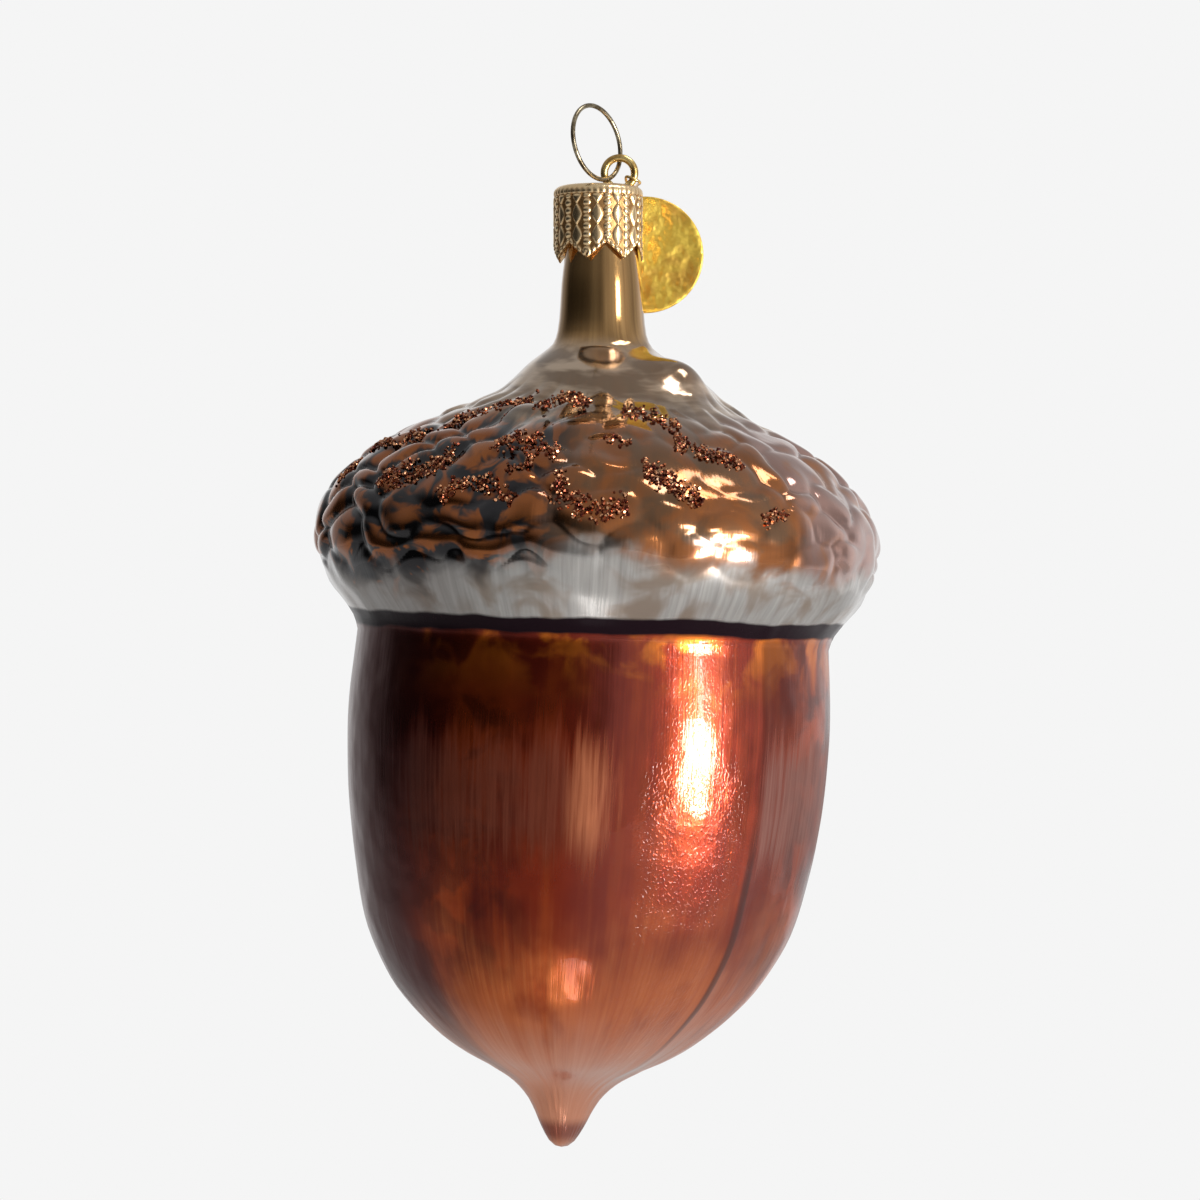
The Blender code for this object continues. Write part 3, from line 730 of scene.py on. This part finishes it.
class Paint(Nodes):
    """A material of one shader, with its node tree."""

    def __init__(self, name):
        self.material = bpy.data.materials.new(name)
        self.material.use_nodes = True
        super().__init__(self.material.node_tree)
        self.shader = self.tree.nodes["Principled BSDF"]

    def bump(self, height, strength, distance, normal=None):
        made = self.tree.nodes.new("ShaderNodeBump")
        self.put(height, made.inputs["Height"])
        made.inputs["Strength"].default_value = strength
        made.inputs["Distance"].default_value = distance
        if normal is not None:
            self.put(normal, made.inputs["Normal"])
        return made.outputs["Normal"]

    def finish(self, colour, roughness, metallic, normal=None, coat=0.0, coat_roughness=0.03):
        inputs = self.shader.inputs
        self.put_colour(colour, inputs["Base Color"])
        self.put(roughness, inputs["Roughness"])
        self.put(metallic, inputs["Metallic"])
        if normal is not None:
            self.put(normal, inputs["Normal"])
        self.put(coat, inputs["Coat Weight"])
        inputs["Coat Roughness"].default_value = coat_roughness
        return self.material


def near_angle(paint, x, y, side):
    """1 on a side of the glass, fading to 0 over its soft edge."""
    degrees, half_width, soft = side
    toward = math.radians(degrees)
    dot = paint.add(paint.times(x, math.cos(toward)), paint.times(y, math.sin(toward)))
    return paint.step(dot, math.cos(math.radians(half_width + soft)), math.cos(math.radians(half_width)))


def glass_noise(paint, turns, falls, detail=3.0, roughness=0.5, distortion=0.0):
    """Noise over the glass, with its scale round the axis and its scale down it."""
    place = paint.stretched(paint.attribute("place", "Vector"), (turns, turns, falls))
    return paint.noise(place, 1.0, detail, roughness, distortion)


def lacquered_glass():
    """Silvered glass under painted lacquer: grey-brown cup, dark seam, red-brown nut."""
    paint = Paint("lacquered_glass_finish")
    crest = paint.attribute("crest")
    x, y, height = paint.parts(paint.attribute("place", "Vector"))
    streaks = glass_noise(paint, 9.0, 0.030, 3.0, 0.6)
    fine_streaks = glass_noise(paint, 55.0, 0.07, 3.0, 0.65)
    clouds = glass_noise(paint, 2.6, 0.075)
    patches = glass_noise(paint, 5.5, 0.20, distortion=0.5)
    nut, matt = nut_paint(paint, x, y, height, streaks, fine_streaks, clouds, patches)
    cup, rim = cup_paint(paint, x, y, height, crest, streaks, fine_streaks, clouds, patches)

    # The painted seam over the groove, with a wandering edge
    wander = paint.add(paint.times(paint.add(clouds, -0.5), 1.6), paint.times(paint.add(x, -0.1), 0.35))
    level = paint.math("SUBTRACT", height, wander)
    seam = paint.band(level, 1.55, 3.35, 0.22)
    colour = paint.mix(paint.step(level, 1.6, 2.2), nut, cup)
    colour = paint.mix(seam, colour, SEAM_COLOUR)

    on_nut = paint.step(height, 2.0, 1.0)
    matt = paint.times(matt, on_nut)
    glossy = paint.times(near_angle(paint, x, y, GLOSSY_SIDE), on_nut)
    roughness = paint.add(paint.blend(glossy, 0.13, 0.07), paint.times(rim, 0.14))
    roughness = paint.add(roughness, paint.times(matt, 0.25))
    painted_over = paint.add(paint.times(matt, 0.45), paint.times(seam, 0.8))
    metallic = paint.math("SUBTRACT", 0.96, painted_over, clamp=True)

    # The marks of the brush and the grit, none where the glass is narrow
    wide = paint.times(paint.step(height, 33.0, 18.0), paint.step(height, -57.0, -40.0))
    grit = glass_noise(paint, 105.0, 2.2, detail=1.0)
    gritty = paint.times(near_angle(paint, x, y, GRITTY_SIDE), on_nut)
    gritty = paint.times(gritty, paint.blend(paint.step(height, -11.0, -16.0), 0.25, 1.0))
    grit = paint.times(paint.step(grit, 0.50, 0.66), paint.times(gritty, wide))
    ripple = glass_noise(paint, 7.5, 0.26, 1.0, 0.4)
    brush = paint.bump(paint.times(fine_streaks, wide), 0.25, 0.00008)
    brush = paint.bump(paint.times(ripple, on_nut), 0.32, 0.0005, brush)
    normal = paint.bump(grit, 1.0, 0.000008, brush)
    paint.put(paint.bump(grit, 1.0, 0.000022, brush), paint.shader.inputs["Coat Normal"])
    shine = paint.math("SUBTRACT", 0.5, paint.times(seam, 0.4))
    paint.put(shine, paint.shader.inputs["Specular IOR Level"])

    dim = paint.blend(on_nut, 0.35, paint.times(paint.less(glossy), 0.75))
    dim = paint.add(paint.add(paint.times(seam, 0.92), paint.times(matt, 0.6)), dim)
    coat = paint.math("SUBTRACT", 1.0, dim, clamp=True)
    return paint.finish(colour, roughness, metallic, normal, coat, coat_roughness=0.035)


def nut_paint(paint, x, y, height, streaks, fine_streaks, clouds, patches):
    """Painted shade makes it near black on the left; then brown satin strokes, deep red and orange; tan
    at the foot, lighter towards the tip partly as a painted reflection of the pale floor.

    Also gives how far the matt strokes cover it.
    """
    # Painted shade on the left: near black lacquer, darker strokes, and a darker foot that starts lower
    left = near_angle(paint, x, y, SHADED_LEFT)
    right = near_angle(paint, x, y, NUT_RIGHT)
    glow = near_angle(paint, x, y, GLOWING_SIDE)
    red = paint.mix(paint.step(clouds, 0.40, 0.64), (0.13, 0.009, 0.003), (0.42, 0.058, 0.010))
    red = paint.mix(glow, red, paint.mix(clouds, (0.15, 0.008, 0.003), (0.42, 0.042, 0.008)))
    ember = paint.times(paint.step(streaks, 0.48, 0.68), 0.45)
    red = paint.mix(ember, red, (0.44, 0.066, 0.010))
    shade = paint.times(paint.step(patches, 0.56, 0.40), 0.6)
    red = paint.mix(paint.times(shade, paint.less(glow)), red, (0.07, 0.008, 0.004))
    top_glow = paint.times(paint.step(height, -7.0, 1.0), paint.step(patches, 0.46, 0.64))
    red = paint.mix(paint.times(top_glow, 0.8), red, (0.74, 0.19, 0.014))
    foot_edge = paint.add(height, paint.add(paint.times(clouds, -22.0), paint.times(fine_streaks, -5.0)))
    foot = paint.step(paint.add(foot_edge, paint.times(left, 8.0)), -40.0, -56.0)
    orange = paint.mix(fine_streaks, (0.60, 0.095, 0.020), (0.82, 0.25, 0.075))
    drifts = glass_noise(paint, 4.6, 0.13, 3.0, 0.55)
    orange = paint.mix(paint.times(paint.step(drifts, 0.46, 0.72), 0.8), orange, (0.36, 0.050, 0.012))
    orange = paint.mix(left, orange, (0.26, 0.10, 0.065))
    red = paint.mix(foot, red, orange)
    # Pale tan towards the tip: partly its paint, partly a painted reflection of the pale floor below
    tip = paint.step(paint.add(height, paint.times(streaks, 6.0)), -37.0, -47.0)
    red = paint.mix(tip, red, paint.mix(fine_streaks, (0.74, 0.22, 0.10), (0.92, 0.47, 0.31)))
    red = paint.mix(paint.band(height, -58.2, -56.0, 0.8), red, TIP_END_COLOUR)
    red = paint.mix(paint.times(left, paint.less(foot)), red, LEFT_SHADE_COLOUR)

    # Satin strokes drawn down the nut over the lacquer, with ragged edges
    front_left = near_angle(paint, x, y, STROKED_SIDE)
    zone = paint.times(paint.math("MAXIMUM", front_left, right), paint.band(height, -25.0, -9.0, 6.0))
    ragged = paint.add(paint.times(fine_streaks, 0.9), paint.times(streaks, 0.9))
    strokes = paint.step(paint.add(paint.times(zone, 0.75), ragged), 1.15, 1.75)
    brown = paint.mix(fine_streaks, (0.055, 0.008, 0.004), (0.30, 0.070, 0.032))
    mauve = paint.mix(fine_streaks, (0.08, 0.022, 0.017), (0.34, 0.16, 0.125))
    brown = paint.mix(right, brown, mauve)
    brown = paint.mix(left, brown, (0.060, 0.013, 0.011))
    lines = paint.times(paint.step(fine_streaks, 0.60, 0.74), near_angle(paint, x, y, LINED_SIDE))
    pale = paint.times(near_angle(paint, x, y, PALE_STROKE), paint.band(height, -23.0, -8.0, 5.0))
    brown = paint.mix(paint.times(pale, streaks), brown, (0.98, 0.34, 0.15))
    nut = paint.mix(paint.times(strokes, 0.85), red, brown)
    nut = paint.mix(paint.times(lines, 0.5), nut, (0.16, 0.12, 0.13))
    mould_line = paint.times(near_angle(paint, x, y, MOULD_LINE), paint.band(height, -46.0, -22.0, 5.0))
    nut = paint.mix(paint.times(mould_line, 0.75), nut, (0.07, 0.015, 0.012))
    return nut, paint.times(strokes, 0.85)


def cup_paint(paint, x, y, height, crest, streaks, fine_streaks, clouds, patches):
    """Dark hollows and bronze crests, partly painted shade and highlight; mauve past the mould's seam;
    grey-brown shoulder, partly a painted reflection of the grey overhead; silver rim, with painted shade
    on its left.

    Also gives how far the rough silver of the rim covers it.
    """
    # Bronze on the scales' crests and dark in their hollows: partly random flecks, partly painted
    # highlight and painted shade
    bronze = paint.mix(patches, (0.22, 0.050, 0.009), (0.50, 0.16, 0.032))
    dark = paint.mix(clouds, (0.008, 0.012, 0.020), (0.045, 0.038, 0.036))
    flecks = glass_noise(paint, 9.0, 0.34, detail=2.0, distortion=1.2)
    crests = paint.step(paint.add(paint.times(crest, 0.30), flecks), 0.59, 0.75)
    cup = paint.mix(crests, dark, bronze)
    front_right = near_angle(paint, x, y, CUP_FRONT)
    warm = paint.mix(paint.step(patches, 0.38, 0.56), (0.26, 0.130, 0.058), (0.42, 0.14, 0.035))
    cup = paint.mix(paint.times(front_right, 0.85), cup, warm)
    right = near_angle(paint, x, y, CUP_RIGHT)
    mauve = paint.mix(paint.step(patches, 0.50, 0.68), (0.52, 0.32, 0.28), (0.62, 0.26, 0.12))
    cup = paint.mix(paint.times(right, 0.85), cup, mauve)
    # Grey-brown shoulder: partly its lacquer, partly a painted reflection of the grey overhead
    bands = glass_noise(paint, 1.6, 0.55)
    grey = paint.mix(paint.step(bands, 0.38, 0.62), (0.30, 0.200, 0.125), (0.76, 0.58, 0.42))
    shoulder = paint.step(paint.add(height, paint.times(patches, 6.0)), 27.0, 30.5)
    cup = paint.mix(paint.times(shoulder, 0.9), cup, grey)
    # The rim's left side: its edge lies lower there, and the silver is darkened there as painted shade
    shaded_side = near_angle(paint, x, y, RIM_SHADED_LEFT)
    raised = paint.times(near_angle(paint, x, y, RIM_FRONT), -1.6)
    edge = paint.add(paint.times(shaded_side, 2.2), raised)
    rim = paint.step(paint.add(paint.add(height, edge), paint.times(patches, 8.0)), 14.6, 11.2)
    silver = paint.mix(fine_streaks, (0.28, 0.27, 0.255), (0.90, 0.875, 0.84))
    silver = paint.mix(paint.step(patches, 0.44, 0.66), silver, (0.38, 0.31, 0.25))
    silver = paint.mix(paint.times(shaded_side, 0.55), silver, (0.17, 0.135, 0.12))
    cup = paint.mix(paint.times(rim, 0.92), cup, silver)
    neck_tone = paint.mix(streaks, (0.20, 0.085, 0.014), (0.68, 0.41, 0.16))
    cup = paint.mix(paint.step(height, 33.0, 36.5), cup, neck_tone)
    return cup, rim


def stamped_gold():
    paint = Paint("stamped_gold_finish")
    crest = paint.attribute("crest")
    place = paint.object_place()
    wear = paint.noise(place, 900.0, 3.0, 0.6)
    rose = paint.mix(wear, (1.0, 0.64, 0.33), (1.0, 0.82, 0.50))
    colour = paint.mix(paint.step(crest, -0.1, 0.65), (0.48, 0.25, 0.09), rose)
    roughness = paint.blend(crest, 0.36, 0.17)
    normal = paint.bump(paint.noise(place, 2600.0, 2.0), 0.25, 0.00004)
    return paint.finish(colour, roughness, 1.0, normal)


def drawn_wire(name, bright, dull):
    paint = Paint(name)
    place = paint.object_place()
    stain = paint.noise(place, 1100.0, 4.0, 0.6)
    colour = paint.mix(paint.step(stain, 0.35, 0.65), dull, bright)
    roughness = paint.blend(stain, 0.34, 0.16)
    normal = paint.bump(paint.noise(paint.stretched(place, (1.0, 1.0, 0.3)), 5200.0, 2.0), 0.2, 0.00003)
    return paint.finish(colour, roughness, 1.0, normal)


def polished_tag():
    paint = Paint("tag_gold_finish")
    place = paint.object_place()
    tarnish = paint.noise(place, 230.0, 3.0, 0.55, 0.6)
    colour = paint.mix(paint.step(tarnish, 0.36, 0.60), (0.80, 0.47, 0.08), (1.0, 0.70, 0.11))
    roughness = paint.blend(tarnish, 0.40, 0.22)
    dents = paint.bump(paint.noise(place, 420.0, 2.0, 0.5), 0.9, 0.0008)
    normal = paint.bump(paint.noise(place, 1900.0, 2.0, 0.5), 0.5, 0.00010, dents)
    return paint.finish(colour, roughness, 0.72, normal)


def copper_glitter():
    paint = Paint("copper_glitter_finish")
    place = paint.object_place()
    cells = paint.tree.nodes.new("ShaderNodeTexVoronoi")
    paint.put(place, cells.inputs["Vector"])
    cells.inputs["Scale"].default_value = 2600.0
    pick = paint.parts(cells.outputs["Color"])[0]
    dark = paint.mix(pick, (0.10, 0.022, 0.018), (0.42, 0.13, 0.05))
    colour = paint.mix(paint.step(pick, 0.55, 0.95), dark, (0.95, 0.50, 0.27))
    return paint.finish(colour, 0.24, 1.0)


def pale_floor():
    paint = Paint("pale_floor_finish")
    grain = paint.noise(paint.object_place(), 40.0, 3.0)
    colour = paint.mix(grain, (0.72, 0.72, 0.715), (0.75, 0.75, 0.745))
    paint.shader.inputs["Specular IOR Level"].default_value = 0.1
    return paint.finish(colour, 0.9, 0.0)


def make_camera():
    data = bpy.data.cameras.new("camera")
    data.lens = CAMERA_LENS
    data.sensor_width = CAMERA_SENSOR
    data.clip_start = 0.01
    camera = bpy.data.objects.new("camera", data)
    bpy.context.scene.collection.objects.link(camera)
    right = Vector((math.cos(CAMERA_ROLL), 0.0, math.sin(CAMERA_ROLL)))
    up = Vector((-math.sin(CAMERA_ROLL), 0.0, math.cos(CAMERA_ROLL)))
    turn = Matrix((right, up, Vector((0.0, -1.0, 0.0)))).transposed().to_4x4()
    camera.matrix_world = Matrix.Translation(CAMERA_AT) @ turn
    bpy.context.scene.camera = camera


def area_light(name, azimuth, elevation, distance, size, power):
    """A soft white light that faces the acorn. Azimuth runs from the front to the right."""
    a, e = math.radians(azimuth), math.radians(elevation)
    toward = Vector((math.sin(a) * math.cos(e), -math.cos(a) * math.cos(e), math.sin(e)))
    data = bpy.data.lights.new(name, "AREA")
    data.shape = "RECTANGLE"
    data.size, data.size_y = size
    data.energy = power
    light = bpy.data.objects.new(name, data)
    light.location = LIT_MIDDLE + toward * distance
    light.rotation_euler = toward.to_track_quat("Z", "Y").to_euler()
    light.visible_camera = False
    bpy.context.scene.collection.objects.link(light)


def make_world():
    """Bright behind and below, dim on the left, lighter to the right, and plain to the camera."""
    world = bpy.data.worlds.new("studio")
    bpy.context.scene.world = world
    world.use_nodes = True
    tree = world.node_tree
    tree.nodes.clear()
    paint = Nodes(tree)
    direction = tree.nodes.new("ShaderNodeTexCoord").outputs["Generated"]
    x, y, z = paint.parts(direction)
    behind = paint.step(y, 0.74, 0.98)
    below = paint.step(z, -0.10, -0.45)
    above = paint.step(z, 0.08, 0.75)
    beside = paint.step(y, 0.25, 0.78)
    glow = paint.times(paint.step(x, -0.10, 0.32), paint.step(y, 0.0, -0.35))
    right = paint.step(x, 0.25, 0.90)
    left = paint.step(x, -0.15, -0.85)
    level = paint.add(paint.add(0.16, paint.times(right, 0.32)), paint.times(glow, 0.52))
    level = paint.blend(left, level, 0.03)
    level = paint.blend(beside, level, paint.blend(right, 0.42, 1.3))
    level = paint.blend(above, level, paint.blend(right, 0.50, 0.80))
    level = paint.blend(below, level, paint.blend(right, 0.68, 0.95))
    level = paint.blend(behind, level, paint.blend(right, 1.0, 1.3))
    studio = tree.nodes.new("ShaderNodeBackground")
    paint.put(level, studio.inputs["Strength"])
    plain = tree.nodes.new("ShaderNodeBackground")
    plain.inputs["Color"].default_value = (BACKGROUND, BACKGROUND, BACKGROUND, 1.0)
    mixed = tree.nodes.new("ShaderNodeMixShader")
    seen = tree.nodes.new("ShaderNodeLightPath").outputs["Is Camera Ray"]
    tree.links.new(seen, mixed.inputs[0])
    tree.links.new(studio.outputs[0], mixed.inputs[1])
    tree.links.new(plain.outputs[0], mixed.inputs[2])
    out = tree.nodes.new("ShaderNodeOutputWorld")
    tree.links.new(mixed.outputs[0], out.inputs["Surface"])


def make_floor():
    work = bmesh.new()
    bmesh.ops.create_grid(work, x_segments=2, y_segments=2, size=FLOOR_HALF_SIDE)
    bmesh.ops.translate(work, vec=(0.0, 0.0, FLOOR_Z), verts=work.verts)
    floor = mesh_object("floor", work, pale_floor())


def make_lights():
    area_light("key", 53.0, -10.0, 0.70, (0.12, 0.29), 4.0)
    area_light("key_top", 53.0, 6.5, 0.70, (0.035, 0.12), 0.22)
    area_light("key_halo", 54.0, -8.0, 0.80, (0.40, 0.50), 0.6)
    area_light("key_high", 46.0, 15.5, 0.70, (0.13, 0.10), 0.6)
    area_light("window_left", 70.0, 67.0, 0.75, (0.14, 0.24), 0.87)
    area_light("window_right", 94.0, 62.0, 0.75, (0.10, 0.20), 0.35)
    area_light("foot_glint", -4.0, -63.0, 0.155, (0.012, 0.045), 0.005)


def main():
    make_camera()
    make_world()
    make_lights()
    make_floor()
    bpy.context.scene.view_settings.view_transform = "Standard"
    brass = drawn_wire("brass_wire_finish", (1.0, 0.74, 0.30), (0.50, 0.30, 0.09))
    dull = drawn_wire("dull_wire_finish", (0.44, 0.37, 0.25), (0.14, 0.105, 0.06))
    glass = make_glass(lacquered_glass())
    pieces = [
        (glass, "ornament", "glass", "lacquered_glass"),
        (make_cap(stamped_gold()), "ornament", "cap", "stamped_gold"),
        (make_hanger(brass), "ornament", "hanger", "brass_wire"),
        (make_tie(brass), "ornament", "tag_wire", "brass_wire"),
        (make_ring(dull), "thread_ring", "ring", "dull_wire"),
        (make_tag(polished_tag()), "tag_plate", "tag", "tag_gold"),
    ]
    for piece, body, node, slot in pieces:
        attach(piece, body)
        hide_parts(node)
    glitter = make_glitter(glass_side(), copper_glitter())
    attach(glitter, "ornament")


main()
